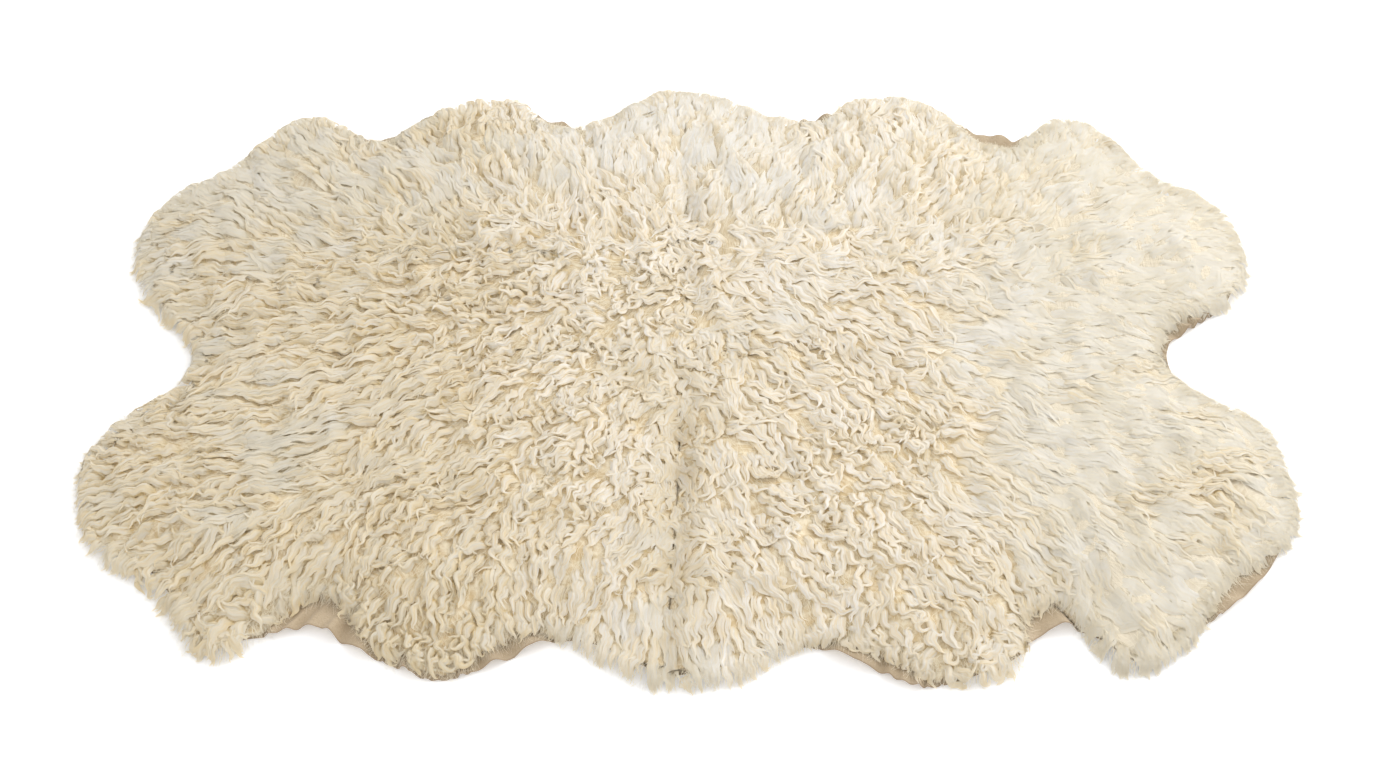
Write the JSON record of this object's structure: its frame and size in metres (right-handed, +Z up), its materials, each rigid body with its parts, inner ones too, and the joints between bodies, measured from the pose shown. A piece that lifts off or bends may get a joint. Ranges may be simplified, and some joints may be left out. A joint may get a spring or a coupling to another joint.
{
  "type": "sheepskin rug",
  "caption": "Flat rug of whole sheepskins sewn together, long curly cream wool on tanned leather, with a lobed outline and bare ruffled leather at its notches.",
  "frame": {"origin": "on the floor, under the middle of the rug's bounding box", "axes": "+X along the rug's length and the cross seam, +Y along the centre seam towards the back, +Z up, out of the wool"},
  "size_m": [1.8842, 1.1608, 0.0687],
  "materials": {
    "leather": "tanned skin, matt, with a fine pebbled grain",
    "wool": "curly cream wool, golden towards its roots"
  },
  "bodies": {
    "root": {"hide_back_left": "leather", "hide_back_right": "leather", "hide_front_left": "leather", "hide_front_right": "leather", "fleece_back_left": "wool", "fleece_back_right": "wool", "fleece_front_left": "wool", "fleece_front_right": "wool"}
  },
  "joints": []
}
